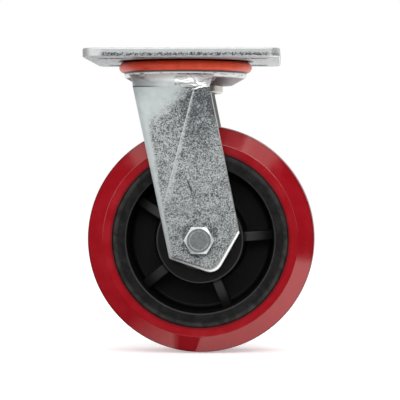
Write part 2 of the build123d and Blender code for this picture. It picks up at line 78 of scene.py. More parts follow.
# ------------------------------------------------------------------ material building
class Finish:
    """A node material, with short calls for the nodes that the finishes share.

    A mask is 1 where something holds and 0 where it doesn't.
    """

    def __init__(self, name, **constants):
        self.material = bpy.data.materials.new(name)
        self.material.use_nodes = True
        self.tree = self.material.node_tree
        self.tree.nodes.clear()
        self.surface = self.add("ShaderNodeBsdfPrincipled")
        output = self.add("ShaderNodeOutputMaterial")
        self.tree.links.new(self.surface.outputs["BSDF"], output.inputs["Surface"])
        self.place = self.add("ShaderNodeTexCoord").outputs["Object"]
        for socket, value in constants.items():
            self.surface.inputs[socket.replace("_", " ")].default_value = value

    def add(self, kind, **settings):
        """A new node with these settings."""
        node = self.tree.nodes.new(kind)
        for setting, value in settings.items():
            setattr(node, setting, value)
        return node

    def feed(self, node, **inputs):
        """Give a node's inputs a number, a colour or another node's output."""
        for name, value in inputs.items():
            key = int(name[1:]) if name[1:].isdigit() else name.replace("_", " ")
            socket = node.inputs[key]
            if isinstance(value, bpy.types.NodeSocket):
                self.tree.links.new(value, socket)
            else:
                socket.default_value = value
        return node

    def feed_in_order(self, node, values):
        """Give a node's first inputs these values."""
        return self.feed(node, **{f"_{index}": value for index, value in enumerate(values)})

    # Sums.
    def scalar(self, operation, *values):
        """What a Math node makes of one, two or three values."""
        node = self.add("ShaderNodeMath", operation=operation)
        return self.feed_in_order(node, values).outputs[0]

    def vector(self, operation, *values):
        """What a Vector Math node makes of its values."""
        node = self.add("ShaderNodeVectorMath", operation=operation)
        gives_number = operation in ("DOT_PRODUCT", "LENGTH")
        return self.feed_in_order(node, values).outputs["Value" if gives_number else "Vector"]

    def fold(self, operation, values):
        """One value out of many, two at a time."""
        whole = values[0]
        for value in values[1:]:
            whole = self.scalar(operation, whole, value)
        return whole

    def plus(self, *values):
        return self.fold("ADD", values)

    def minus(self, first, second):
        return self.scalar("SUBTRACT", first, second)

    def times(self, first, second):
        return self.scalar("MULTIPLY", first, second)

    def away(self, value):
        """How far a value lies from 0, either way."""
        return self.scalar("ABSOLUTE", value)

    # Masks.
    def both(self, *masks):
        """1 where every mask is 1."""
        return self.fold("MULTIPLY", masks)

    def either(self, *masks):
        """1 where any mask is 1."""
        return self.fold("MAXIMUM", masks)

    def unless(self, mask):
        return self.minus(1.0, mask)

    def ease(self, value, start, end, low=0.0, high=1.0):
        """low up to start, high from end on, and a smooth rise between."""
        node = self.add("ShaderNodeMapRange", interpolation_type="SMOOTHSTEP")
        self.feed(
            node, Value=value, From_Min=start, From_Max=end, To_Min=low, To_Max=high
        )
        return node.outputs["Result"]

    def fade(self, value, start, end, high=1.0):
        """high up to start, 0 from end on, and a smooth fall between."""
        return self.ease(value, start, end, high, 0.0)

    def band(self, value, middle, half_width, soft):
        """1 where value is within half_width of middle, and 0 past soft more."""
        off_middle = self.away(self.minus(value, middle))
        return self.fade(off_middle, half_width, half_width + soft)

    def stroke(self, middle, slope, length, width):
        """A short mark, seen from the side.

        middle is (x, z), slope is in degrees, and length and width are (half, soft edge).
        """
        x, z = middle
        turn = math.radians(slope)
        onwards = self.beyond((x, 0, z), (math.cos(turn), 0, math.sin(turn)))
        sideways = self.beyond((x, 0, z), (-math.sin(turn), 0, math.cos(turn)))
        return self.both(self.band(onwards, 0.0, *length), self.band(sideways, 0.0, *width))

    # Places on the surface.
    def axes(self):
        """The surface's own x, y and z."""
        node = self.add("ShaderNodeSeparateXYZ")
        return self.feed(node, Vector=self.place).outputs

    def beyond(self, point, direction):
        """How far the surface lies past the plane through point that is square to direction."""
        from_point = self.vector("SUBTRACT", self.place, point)
        return self.vector("DOT_PRODUCT", from_point, Vector(direction).normalized())

    def left_of(self, start, end):
        """How far the surface lies left of the way between two (x, z) places, seen from -Y."""
        return self.beyond((start[0], 0, start[1]), (start[1] - end[1], 0, end[0] - start[0]))

    def from_line(self, point, across):
        """How far the surface lies from a line. across is 1 on the axes square to it."""
        from_point = self.vector("SUBTRACT", self.place, point)
        return self.vector("LENGTH", self.vector("MULTIPLY", from_point, across))

    def from_swivel(self):
        """How far the surface lies from the swivel axis."""
        return self.from_line((0, 0, 0), (1, 1, 0))

    def from_axle(self):
        """How far the surface lies from the axle's axis."""
        return self.from_line(axle, (1, 0, 1))

    def ellipse(self, centre, half_size):
        """0 at an (x, z) centre, 1 on the ellipse round it, seen from the side, and on up."""
        from_centre = self.vector("SUBTRACT", self.place, (centre[0], 0, centre[1]))
        shares = (1 / half_size[0], 0, 1 / half_size[1])
        return self.vector("LENGTH", self.vector("MULTIPLY", from_centre, shares))

    def stretched(self, *shares):
        """The surface's place with each axis scaled, for noise that is drawn out."""
        return self.vector("MULTIPLY", self.place, shares)

    def facing(self, direction):
        """How squarely the surface faces a direction of the object's own frame."""
        normal = self.add("ShaderNodeTexCoord").outputs["Normal"]
        return self.vector("DOT_PRODUCT", normal, Vector(direction).normalized())

    # Noise, colour and relief.
    def noise(self, size, detail=2.0, roughness=0.5, distortion=0.0, place=None):
        """Soft noise whose blots are about size across. It lies mostly from 0.3 to 0.7."""
        node = self.add("ShaderNodeTexNoise")
        self.feed(
            node,
            Vector=place or self.place,
            Scale=1 / size,
            Detail=detail,
            Roughness=roughness,
            Distortion=distortion,
        )
        return node.outputs["Fac"]

    def vary(self, noise, low, high):
        """A number that wanders from low to high with a noise."""
        return self.ease(noise, 0.3, 0.7, low, high)

    def shades(self, noise, first, second):
        """A colour that wanders between two with a noise."""
        return self.ramp(noise, (0.3, first), (0.7, second))

    def ramp(self, value, *stops):
        """A colour ramp through (position, grey or colour) stops."""
        node = self.add("ShaderNodeValToRGB")
        elements = node.color_ramp.elements
        while len(elements) < len(stops):
            elements.new(0.5)
        for element, (position, colour) in zip(elements, stops):
            element.position = position
            element.color = colour if isinstance(colour, tuple) else grey(colour)
        self.feed(node, Fac=value)
        return node.outputs["Color"]

    def mix(self, share, first, second):
        """The first colour where share is 0 and the second where it is 1."""
        node = self.add("ShaderNodeMix", data_type="RGBA")
        self.feed(node, _0=share, _6=first, _7=second)
        return node.outputs[2]

    def bump(self, height, depth, over=None):
        """Raise the surface by height times depth, in metres, on top of another bump."""
        node = self.add("ShaderNodeBump")
        self.feed(node, Height=height, Strength=1.0, Distance=depth)
        if over:
            self.feed(node, Normal=over)
        return node.outputs["Normal"]

    def set(self, **sockets):
        """Join outputs to the surface shader's inputs."""
        self.feed(self.surface, **sockets)

    def wear(self, *names):
        """Put this finish on CAD nodes."""
        for name in names:
            nodes[name].data.materials.clear()
            nodes[name].data.materials.append(self.material)


def grey(level):
    return (level, level, level, 1.0)


# ------------------------------------------------------------------------ zinc, shared
bright_zinc = (0.76, 0.79, 0.785, 1.0)
pale_zinc = (0.62, 0.655, 0.655, 1.0)
mid_zinc = (0.34, 0.365, 0.37, 1.0)
dark_zinc = (0.10, 0.11, 0.12, 1.0)
polished_highlight_zinc = (0.86, 0.88, 0.87, 1.0)
highlight_zinc = (0.93, 0.95, 0.94, 1.0)
black_mark = (0.03, 0.032, 0.035, 1.0)


def speckle(finish):
    """The mottle of rolled zinc, round 0.5: flakes in soft patches, parted by dark hairlines."""
    flakes = finish.noise(0.56 * MM, detail=4.0, roughness=0.7, distortion=0.5)
    patches = finish.vary(finish.noise(5 * MM, detail=3.0), -0.03, 0.03)
    winding = finish.noise(2.2 * MM, detail=3.0, distortion=0.8)
    hairlines = finish.ease(finish.away(finish.minus(winding, 0.5)), 0.0, 0.03, -0.09, 0.015)
    return finish.plus(flakes, patches, hairlines)


def rolled_zinc(finish, speckles):
    """The colour of rolled zinc, from its mottle."""
    return finish.ramp(
        speckles, (0.415, dark_zinc), (0.47, mid_zinc), (0.535, pale_zinc), (0.60, bright_zinc)
    )


# -------------------------------------------------------------------------- the fork
bowl_radius = 32.0 * MM  # the crown's dished underside, within its rolled rim
bowl_foot_z = -18.0 * MM
rim_foot_z = -13.6 * MM
bend_z = -19.7 * MM  # the legs begin below the bend
leg_inner_y = 30.5 * MM

# Places on its left side, as (x, z).
leg_bottom_left = mm(-7.35, -112.4)
leg_tip = mm(18.0, -121.2)
leg_right_corner = mm(30.7, -98.6)
trailing_top = mm(-21.6, -20.0)  # the rolled trailing edge's inner side
trailing_foot = mm(-6.1, -112.0)
corner_low = mm(-20.0, -42.0)  # the edge of what was drawn smooth under the crown
corner_high = mm(2.5, -20.5)
crease_top = mm(6.0, -21.5)
crease_foot = mm(-8.7, -78.0)
wedge_top = mm(6.6, -21.5)  # the far side of the paler wedge beside the crease
wedge_foot = mm(-6.0, -78.0)


def drawn_zones(finish, z):
    """Where the sheet was drawn smooth, as three masks.

    They are the corner under the crown, the rolled trailing edge and all above the bend.
    """
    wander = finish.vary(finish.noise(3.5 * MM, detail=4.0), *mm(-1.3, 1.3))
    into_corner = finish.left_of(corner_low, corner_high)
    corner = finish.ease(finish.plus(into_corner, wander), *mm(-4.2, 3.8))
    off_trailing_edge = finish.left_of(trailing_top, trailing_foot)
    trailing = finish.fade(off_trailing_edge, *mm(-1.4, 1.6))
    above = finish.ease(z, bend_z - 0.7 * MM, bend_z + 0.1 * MM)
    return corner, trailing, above


def crown_zones(finish, x, z, above):
    """The crown, as four masks.

    They are its rolled rim, its bowl, the skirt outside the bowl, and the paler part of the
    skirt under the rim, which stops short of its trailing end. The rim and that paler part
    are painted near white as a highlight.
    """
    from_swivel = finish.from_swivel()
    rim = finish.both(
        finish.ease(from_swivel, bowl_radius - 1 * MM, bowl_radius),
        finish.ease(z, rim_foot_z - 0.8 * MM, rim_foot_z),
    )
    bowl = finish.both(
        finish.fade(from_swivel, bowl_radius, bowl_radius + 1 * MM),
        finish.ease(z, bowl_foot_z - 1 * MM, bowl_foot_z),
    )
    skirt = finish.both(finish.either(above, rim), finish.unless(bowl))
    under_rim_highlight = finish.both(
        finish.ease(z, *mm(-17.6, -15.9), 0.0, 0.7),
        finish.ease(x, *mm(-25, -19)),
        finish.unless(bowl),
    )
    return rim, bowl, skirt, under_rim_highlight


def leg_zones(finish, y, z, trailing, above):
    """The legs, as three masks: their inner faces, their narrow sides and their sheared edges."""
    broadside = finish.away(finish.facing((0, 1, 0)))
    inner = finish.both(
        finish.fade(finish.away(y), leg_inner_y + 0.1 * MM, leg_inner_y + 0.5 * MM),
        finish.unless(above),
    )
    narrow = finish.both(finish.fade(broadside, 0.3, 0.6), finish.unless(above))
    sheared = finish.both(
        finish.fade(broadside, 0.86, 0.985),
        finish.ease(z, *mm(-22, -24)),
        finish.unless(trailing),
    )
    return inner, narrow, sheared


def gathered_patch(finish, z):
    """Where the drawn sheet was gathered beside the bend: crumpled, and burnished low down.

    It gives the patch, its burnished part, its dark folds and the height of its crumple. The patch is painted near
    white as a highlight, and the folds are painted dark reflection lines.
    """
    from_patch = finish.ellipse(mm(6.2, -17.2), mm(11.5, 4.9))
    ragged = finish.vary(finish.noise(4 * MM, detail=2.0), -0.2, 0.2)
    patch = finish.fade(finish.plus(from_patch, ragged), 0.72, 1.05)
    burnished = finish.both(patch, finish.fade(z, *mm(-16.2, -14.8)))
    flowing = finish.noise(
        4.4 * MM, detail=0.5, distortion=1.5, place=finish.stretched(0.5, 0.5, 1.2)
    )
    fold_reflection_lines = finish.both(
        finish.band(flowing, 0.54, 0.008, 0.03), finish.ease(patch, 0.2, 0.8, 0.0, 0.8)
    )
    crumple = finish.both(
        flowing,
        finish.ease(from_patch, 0.5, 1.2, 1.0, 0.05),
        finish.ease(z, *mm(-14.8, -13.4), 1.0, 0.1),
    )
    return patch, burnished, fold_reflection_lines, crumple


def painted_crease_highlight(finish, z):
    """The diagonal crease, as a painted highlight: a light line, and beside it a paler wedge that widens
    downwards.
    """
    off_crease = finish.left_of(crease_top, crease_foot)
    off_wedge = finish.left_of(wedge_top, wedge_foot)
    # Painted highlight: the paler wedge and the light line along the crease.
    wedge = finish.both(
        finish.ease(off_crease, *mm(-0.3, 0.3)), finish.fade(off_wedge, *mm(-0.8, 0.8), 0.3)
    )
    ridge = finish.band(off_crease, 0.0, *mm(0.12, 0.22))
    return finish.both(finish.either(ridge, wedge), finish.ease(z, *mm(-86, -74)))


def coined_foot(finish):
    """The band coined round the legs' feet, bright from coining and from a painted highlight, and how far its face
    still stands up.
    """
    tip_softness = 9.8 * MM
    past_foot = finish.scalar(
        "SMOOTH_MAX",
        finish.left_of(leg_tip, leg_bottom_left),
        finish.left_of(leg_right_corner, leg_tip),
        tip_softness,
    )
    coined = finish.ease(past_foot, *mm(-1.75, -1.45))
    standing = finish.fade(past_foot, *mm(-1.9, -0.3))
    return coined, standing


def fork_marks_and_shade(finish, x, y, z, rim):
    """The fork's dark marks, below the crown's rim and on it. The line along the bend and the line under the seal
    are painted shade.
    """
    scratch = finish.both(
        finish.stroke(mm(3.85, -73.5), -69.3, length=mm(2.5, 1.5), width=mm(0.25, 0.35)),
        finish.fade(y, *mm(-1, 1)),
    )
    # Painted shade along the bend.
    bend_shade_line = finish.both(
        finish.band(z, bend_z - 0.05 * MM, *mm(0.1, 0.5)), finish.fade(x, *mm(-21, -8))
    )
    dark_strokes = finish.both(
        finish.vary(finish.noise(3 * MM, detail=3.0), 0.3, 0.8),
        finish.either(
            finish.stroke(mm(-24.0, -14.2), -19.9, length=mm(4.0, 3.5), width=mm(0.2, 1.3)),
            finish.stroke(mm(-0.5, -14.8), -4, length=mm(2.5, 2.0), width=mm(0.15, 0.7)),
        ),
    )
    dark_line_by_rim = finish.both(
        finish.stroke(mm(6.0, -12.95), 0, length=mm(7.0, 3.5), width=mm(0.22, 0.4)),
        finish.ease(finish.noise(1.5 * MM, detail=2.0), 0.35, 0.6, 0.45, 1.0),
    )
    # Painted shadow under the seal.
    seal_shadow_line = finish.both(rim, finish.ease(z, *mm(-12.05, -11.65)))
    drawn_out = finish.noise(1.6 * MM, detail=2.0, place=finish.stretched(0.35, 0.35, 2.0))
    streaks = finish.both(rim, finish.ease(drawn_out, 0.60, 0.68, 0.0, 0.8))
    return finish.either(scratch, bend_shade_line, dark_strokes, dark_line_by_rim, seal_shadow_line, streaks)


def leg_tone_and_shade(finish, speckles, crease):
    """The legs' mottle, cloudy high up, with painted shade that darkens it high up, a painted shadow round the
    bolt and a painted highlight along the crease.
    """
    # Painted shade, darkest below the crown.
    from_shade = finish.ellipse(mm(9, -30), mm(17, 30))
    shade = finish.ease(from_shade, 0.3, 1.2, -0.065, -0.005)
    clouds = finish.vary(finish.noise(4.5 * MM, detail=2.0), -0.03, 0.03)
    middle_tone = 0.47
    less_contrast = finish.times(finish.minus(middle_tone, speckles), 0.25)
    clouds = finish.times(finish.plus(clouds, less_contrast), finish.fade(from_shade, 0.3, 1.0))
    # Painted shadow round the bolt head.
    from_bolt = finish.ellipse((axle.x, axle.z + 1.5 * MM), mm(10.5, 10.5))
    bolt_shade = finish.ease(from_bolt, 0.75, 1.1, -0.07, 0.0)
    return finish.plus(speckles, shade, clouds, bolt_shade, finish.times(crease, 0.28))


def drawn_colour(finish, x, bowl):
    """Drawn zinc: smooth and pale, with painted shade in the crown's bowl, darkest at its left, and at the bend's
    trailing end.
    """
    colour = finish.shades(
        finish.noise(3 * MM, detail=3.0), (0.52, 0.565, 0.57, 1), (0.59, 0.635, 0.635, 1)
    )
    # Painted shade in the bowl, darkest at its left.
    bowl_shade_colour = finish.mix(
        finish.ease(x, *mm(17, 27)), (0.12, 0.105, 0.10, 1), (0.29, 0.28, 0.28, 1)
    )
    colour = finish.mix(bowl, colour, bowl_shade_colour)
    # Painted shade at the bend's trailing end.
    from_bend_end = finish.ellipse(mm(-27.5, -20.5), mm(9, 7))
    bend_end_shade = finish.fade(from_bend_end, 0.2, 1.3, 0.42)
    return finish.mix(bend_end_shade, colour, (0.30, 0.33, 0.33, 1))


def fork_zinc():
    """Speckled where the sheet lies flat, smooth where it was drawn, bright at its edges, with painted shade and
    painted highlights on it too.
    """
    finish = Finish("fork_zinc")
    x, y, z = finish.axes()
    corner, trailing, above = drawn_zones(finish, z)
    drawn = finish.either(corner, trailing, above)
    rim, bowl, skirt, under_rim_highlight = crown_zones(finish, x, z, above)
    inner, narrow, sheared = leg_zones(finish, y, z, trailing, above)
    gathered, burnished, fold_reflection_lines, crumple = gathered_patch(finish, z)
    coined, standing = coined_foot(finish)
    edge = finish.either(sheared, coined)

    speckles = speckle(finish)
    tone = leg_tone_and_shade(finish, speckles, painted_crease_highlight(finish, z))
    colour = finish.mix(drawn, rolled_zinc(finish, tone), drawn_colour(finish, x, bowl))
    colour = finish.mix(inner, colour, (0.42, 0.46, 0.43, 1))
    # Painted highlight: the gathered patch, the rim and the paler skirt under it are painted near white.
    colour = finish.mix(finish.either(gathered, rim, under_rim_highlight), colour, highlight_zinc)
    marks_and_shade = finish.either(fork_marks_and_shade(finish, x, y, z, rim), fold_reflection_lines)
    colour = finish.mix(finish.times(marks_and_shade, 0.85), colour, black_mark)
    # The polished edges and coined foot, painted brighter still as a highlight.
    colour = finish.mix(edge, colour, polished_highlight_zinc)

    # Chalky zinc mirrors less: the drawn skirt most, its burnished part less so.
    chalk = finish.either(
        finish.times(finish.either(corner, trailing, inner, narrow), 0.5),
        finish.both(skirt, finish.ease(burnished, 0.0, 1.0, 0.8, 0.5)),
        finish.times(bowl, 0.3),
    )
    smooth = finish.times(finish.either(edge, finish.times(gathered, 1.5)), 0.2)
    rough = finish.plus(finish.ease(speckles, 0.35, 0.65, 0.56, 0.44), finish.times(trailing, 0.15))
    flat = finish.unless(finish.either(drawn, edge, gathered))
    foot_relief = finish.bump(standing, 0.45 * MM)
    crumple_relief = finish.bump(crumple, 0.45 * MM, over=foot_relief)
    finish.set(
        Base_Color=colour,
        Metallic=finish.unless(chalk),
        Roughness=finish.minus(rough, smooth),
        Normal=finish.bump(finish.both(speckles, flat), 0.03 * MM, over=crumple_relief),
    )
    finish.wear("fork")


# --------------------------------------------------------------------- the top plate
plate_foot = -5.0 * MM
torn_z = -3.6 * MM


def torn_steel(finish):
    """The grainy dark colour of steel that was torn by shears."""
    grain = finish.noise(0.8 * MM, detail=2.0, roughness=0.6)
    return finish.ramp(grain, (0.44, black_mark), (0.60, (0.37, 0.39, 0.40, 1)))


def edge_zinc(finish, z, corner):
    """The plate's edge: duller below its upper round, but for the corners, over a bright line at its foot that is
    partly a burr and partly a painted highlight.
    """
    colour = finish.shades(finish.noise(4 * MM, detail=3.0), (0.54, 0.55, 0.54, 1), pale_zinc)
    below_round = finish.both(finish.fade(z, *mm(-1.2, -0.6), 0.5), finish.unless(corner))
    colour = finish.mix(below_round, colour, (0.30, 0.31, 0.31, 1))
    burr_highlight = finish.band(z, plate_foot + 0.1 * MM, *mm(0.25, 0.2))
    return finish.mix(burr_highlight, colour, polished_highlight_zinc)


def slot_walls(finish, x, y, level):
    """The walls of the four bolt slots."""
    bolts = next(mount for mount in frame["record"]["mounts"] if mount["name"] == "plate_bolts")
    slot_place = bolts["dims"]["spacing_x_mm"] / 2 * MM
    half_length = bolts["dims"]["slot_length_mm"] / 2 * MM + 1 * MM
    half_width = bolts["dims"]["hole_r_mm"] * MM + 1.3 * MM
    return finish.both(
        finish.band(finish.away(x), slot_place, half_length, 1 * MM),
        finish.band(finish.away(y), slot_place, half_width, 1 * MM),
        finish.fade(level, 0.3, 0.7, 0.9),
    )


def plate_zinc():
    """Rolled plate: pale faces, and a dark torn band along its sheared edges."""
    finish = Finish("plate_zinc")
    x, y, z = finish.axes()
    from_end = finish.minus(plate_corner.x, finish.away(x))
    from_side = finish.minus(plate_corner.y, finish.away(y))
    level = finish.away(finish.facing((0, 0, 1)))
    face = finish.ease(level, 0.8, 0.97)
    speckles = speckle(finish)

    # The shears tore the middle of each straight edge. The corners were left smooth.
    tear_middle = 2.1 * MM
    from_tear = finish.away(finish.minus(x, tear_middle))
    corner = finish.both(finish.ease(from_tear, *mm(42, 46)), finish.ease(from_side, *mm(11, 7)))
    ragged_z = finish.plus(z, finish.vary(finish.noise(1.3 * MM, detail=3.0), *mm(-0.45, 0.45)))
    torn = finish.both(
        finish.band(ragged_z, torn_z, *mm(0.7, 0.4)),
        finish.fade(level, 0.3, 0.6),
        finish.unless(corner),
    )
    torn_colour = torn_steel(finish)
    paler_rightwards = finish.ease(x, *mm(-50, 50), 0.17, 0.205)
    face_colour = rolled_zinc(finish, finish.plus(finish.times(speckles, 0.6), paler_rightwards))
    colour = finish.mix(face, edge_zinc(finish, z, corner), face_colour)
    colour = finish.mix(torn, colour, torn_colour)

    # The left corners carry painted shade towards the plate's end. The right ones shine, with
    # painted dark reflection lines along the tear's height and painted shade at the very end.
    at_corner = finish.both(
        finish.ease(from_end, *mm(6.5, 3.5)),
        finish.ease(from_side, *mm(11, 8)),
        finish.unless(face),
    )
    right_half = finish.ease(x, *mm(-1, 1))
    shine = finish.both(at_corner, right_half)
    # Painted shade: the left corners darken towards the plate's end.
    dull = finish.both(
        at_corner, finish.unless(right_half), finish.ease(from_end, *mm(5.5, 0.5), 0.0, 0.85)
    )
    colour = finish.mix(dull, colour, (0.24, 0.25, 0.24, 1))
    end_shade = finish.both(shine, finish.ease(from_end, *mm(2.5, 1.0), 0.0, 0.6))
    colour = finish.mix(end_shade, colour, (0.36, 0.37, 0.37, 1))
    reflection_lines = finish.both(shine, finish.band(ragged_z, torn_z, *mm(0.2, 0.4)))
    colour = finish.mix(finish.times(reflection_lines, 0.45), colour, black_mark)

    # The slots were punched, which left their walls torn; their dark colour is also painted shade in the recesses.
    colour = finish.mix(slot_walls(finish, x, y, level), colour, torn_colour)

    # Painted shadow in the gap over the seal.
    seal_gap_shadow = finish.both(
        finish.fade(finish.from_swivel(), *mm(37.0, 38.4)),
        finish.ease(z, plate_foot + 0.3 * MM, plate_foot + 0.2 * MM),
    )
    colour = finish.mix(finish.times(seal_gap_shadow, 0.85), colour, (0.05, 0.03, 0.03, 1))
    rough = finish.ease(speckles, 0.35, 0.65, 0.54, 0.42)
    finish.set(
        Base_Color=colour,
        Metallic=finish.either(
            finish.ease(level, 0.5, 0.9, 0.35, 0.8), finish.times(shine, 0.55)
        ),
        Roughness=finish.minus(rough, finish.times(shine, 0.22)),
        Normal=finish.bump(finish.both(speckles, face), 0.02 * MM),
    )
    finish.wear("top_plate")


# --------------------------------------------------------- turned, forged and ground steel
def turned_zinc():
    """Zinc over turned steel, a little warm."""
    finish = Finish("turned_zinc", Metallic=1.0)
    tone = finish.noise(2.5 * MM, detail=3.0)
    finish.set(
        Base_Color=finish.shades(tone, (0.50, 0.48, 0.43, 1), (0.60, 0.58, 0.52, 1)),
        Roughness=finish.vary(tone, 0.36, 0.26),
    )
    finish.wear(
        "lower_race", "kingpin", "left_hub_washer", "right_hub_washer", "axle_sleeve",
        "bearing_spacer",
    )


def forged_zinc():
    """Zinc over forged fasteners: dull end faces, and brighter bevels that mirror less."""
    finish = Finish("forged_zinc")
    tone = finish.noise(1.6 * MM, detail=3.0)
    end_on = finish.ease(finish.away(finish.facing((0, 1, 0))), 0.95, 0.99)
    dull = finish.shades(tone, (0.26, 0.28, 0.285, 1), (0.46, 0.48, 0.485, 1))
    bright = finish.ramp(tone, (0.3, (0.54, 0.57, 0.57, 1)), (0.65, bright_zinc))
    finish.set(
        Base_Color=finish.mix(end_on, bright, dull),
        Metallic=finish.ease(end_on, 0.0, 1.0, 0.6, 1.0),
        Roughness=finish.vary(tone, 0.46, 0.36),
        Normal=finish.bump(tone, 0.02 * MM),
    )
    finish.wear("axle_bolt", "axle_nut", "kingpin_nut")
    return finish.material


def bearing_steel():
    finish = Finish("bearing_steel", Metallic=1.0)
    tone = finish.noise(2 * MM, detail=2.0)
    finish.set(
        Base_Color=finish.shades(tone, 0.5, 0.62), Roughness=finish.vary(tone, 0.12, 0.2)
    )
    finish.wear(
        "upper_balls", "lower_balls", "left_bearing_balls", "right_bearing_balls",
        "left_bearing_inner_ring", "right_bearing_inner_ring", "left_bearing_outer_ring",
        "right_bearing_outer_ring", "left_bearing_cage", "right_bearing_cage",
        "left_bearing_shields", "right_bearing_shields",
    )


# ----------------------------------------------------------------- plastic and rubber
hub_radius = 23.6 * MM
rim_inner_radius = 40.3 * MM
rim_radius = 48.0 * MM  # where the core's face meets the tyre
rim_half_width = 23.5 * MM
rib_hub_height = 21.0 * MM  # from the wheel's middle to the ribs' fronts, at the hub
rib_rim_height = 13.0 * MM  # and at the rim
shoulder_radius = 53.0 * MM  # the tyre's bevel runs from here to its tread


def red_polyurethane():
    """Glossy cast polyurethane with mould lines, painted darker beside the rim as painted shade, and darker and
    satin on the tread, partly from wear and partly as painted shade.
    """
    finish = Finish("red_polyurethane", IOR=1.85, Specular_Tint=(1.0, 0.68, 0.64, 1.0))
    tone = finish.noise(9 * MM, detail=3.0)
    colour = finish.shades(tone, (0.27, 0.0002, 0.005, 1), (0.31, 0.0005, 0.008, 1))
    from_axle = finish.from_axle()
    # Painted shade beside the rim; the darker tread is partly wear and partly painted shade.
    rim_shade = finish.fade(from_axle, rim_radius, rim_radius + 2 * MM, 0.85)
    tread = finish.ease(from_axle, wheel_radius - 1.0 * MM, wheel_radius - 0.6 * MM, 0.0, 0.28)
    tread_line = finish.band(from_axle, wheel_radius - 0.95 * MM, *mm(0.3, 0.3))
    shoulder_line = finish.band(from_axle, shoulder_radius - 0.2 * MM, *mm(0.12, 0.25))
    mould_lines_wear_and_shade = finish.either(
        rim_shade, tread, finish.times(tread_line, 0.5), finish.times(shoulder_line, 0.35)
    )
    finish.set(
        Base_Color=finish.mix(mould_lines_wear_and_shade, colour, (0.09, 0.003, 0.007, 1)),
        Roughness=finish.plus(tread, finish.vary(tone, 0.14, 0.20)),
        Normal=finish.bump(finish.noise(14 * MM, detail=1.0), 0.25 * MM),
    )
    finish.wear("tyre")


def plastic_highlights(finish, from_axle):
    """Painted highlights on the core: the ribs' fronts, fading towards the rim as painted shade, and the sharp
    edges of the rim and the hub.
    """
    depth = finish.away(finish.axes()[1])
    fall = (rib_hub_height - rib_rim_height) / (rim_inner_radius - hub_radius)
    rib_height = finish.minus(rib_hub_height + hub_radius * fall, finish.times(from_axle, fall))
    rib_fronts = finish.both(
        finish.band(finish.minus(depth, rib_height), 0.0, *mm(0.6, 0.6)),
        finish.ease(from_axle, hub_radius + 1.0 * MM, hub_radius + 2.0 * MM),
        finish.fade(from_axle, rim_inner_radius - 1.8 * MM, rim_inner_radius - 0.8 * MM),
        finish.ease(from_axle, *mm(26, 38), 0.4, 0.05),
    )
    edges = finish.both(
        finish.either(
            finish.band(from_axle, rim_inner_radius + 0.3 * MM, *mm(0.2, 0.3)),
            finish.band(from_axle, hub_radius - 0.4 * MM, *mm(0.2, 0.3)),
        ),
        finish.ease(depth, rim_half_width - 1.0 * MM, rim_half_width - 0.5 * MM),
    )
    return finish.either(rib_fronts, finish.times(edges, 0.5))


def black_plastic():
    """Moulded black plastic, dusty and blotched on the rim's faces, with painted highlights on its ribs and edges.
    """
    finish = Finish("black_plastic", Specular_IOR_Level=0.18)
    grain = finish.noise(1.2 * MM, detail=4.0)
    blotches = finish.noise(6 * MM, detail=3.0, distortion=0.6)
    from_axle = finish.from_axle()
    rim_face = finish.ease(from_axle, rim_inner_radius - 0.8 * MM, rim_inner_radius + 0.7 * MM)
    dust = finish.times(rim_face, finish.ease(blotches, 0.35, 0.68))
    matt = finish.shades(grain, 0.002, 0.004)
    dusty = finish.shades(grain, 0.006, 0.013)
    colour = finish.mix(dust, matt, dusty)
    # Painted highlights on the ribs' fronts and on the rim's and hub's edges.
    colour = finish.mix(plastic_highlights(finish, from_axle), colour, (0.06, 0.062, 0.06, 1))

    # Dust gathers along the tyre, and the cast polyurethane left a dark red film there.
    dust_line = finish.both(
        finish.band(from_axle, rim_radius - 1.0 * MM, *mm(0.9, 1.3)),
        finish.vary(blotches, 0.25, 1.0),
    )
    colour = finish.mix(dust_line, colour, (0.032, 0.032, 0.030, 1))
    film = finish.ease(from_axle, rim_radius - 0.8 * MM, rim_radius + 0.4 * MM, 0.0, 0.9)
    colour = finish.mix(film, colour, (0.05, 0.012, 0.012, 1))
    finish.set(
        Base_Color=colour,
        Roughness=finish.vary(grain, 0.42, 0.55),
        Normal=finish.bump(grain, 0.02 * MM),
    )
    finish.wear("wheel_core")


def orange_rubber():
    """Soft orange rubber, painted paler towards +X as painted light, with painted shade where it meets its
    neighbours.
    """
    finish = Finish("orange_rubber")
    tone = finish.noise(4 * MM, detail=3.0)
    from_middle = finish.beyond(seal_middle, (1, 0, 0))
    above_middle = finish.beyond(seal_middle, (0, 0, 1))
    # Painted light, paler towards +X.
    painted_light_towards_x = finish.ease(from_middle, *mm(-35, 35), -0.2, 0.2)
    colour = finish.ramp(
        finish.plus(tone, painted_light_towards_x),
        (0.15, (0.55, 0.034, 0.010, 1)),
        (0.85, (0.83, 0.076, 0.022, 1)),
    )
    top = seal_half_height
    foot = -seal_half_height
    # Painted shade where the seal meets the plate and the crown.
    contact_shade = finish.either(
        finish.ease(above_middle, top - 0.725 * MM, top - 0.075 * MM, 0.0, 0.9),
        finish.fade(above_middle, foot + 0.125 * MM, foot + 0.625 * MM, 0.97),
    )
    finish.set(
        Base_Color=finish.mix(contact_shade, colour, (0.05, 0.008, 0.006, 1)),
        Roughness=finish.vary(tone, 0.34, 0.42),
    )
    finish.wear("dust_seal")


def nylon():
    finish = Finish("nylon", Subsurface_Weight=0.2)
    tone = finish.noise(2 * MM, detail=2.0)
    finish.set(
        Base_Color=finish.shades(tone, 0.62, 0.7), Roughness=finish.vary(tone, 0.4, 0.5)
    )
    finish.wear("axle_nut_insert")


fork_zinc()
plate_zinc()
turned_zinc()
thread_finish = forged_zinc()
bearing_steel()
red_polyurethane()
black_plastic()
orange_rubber()
nylon()


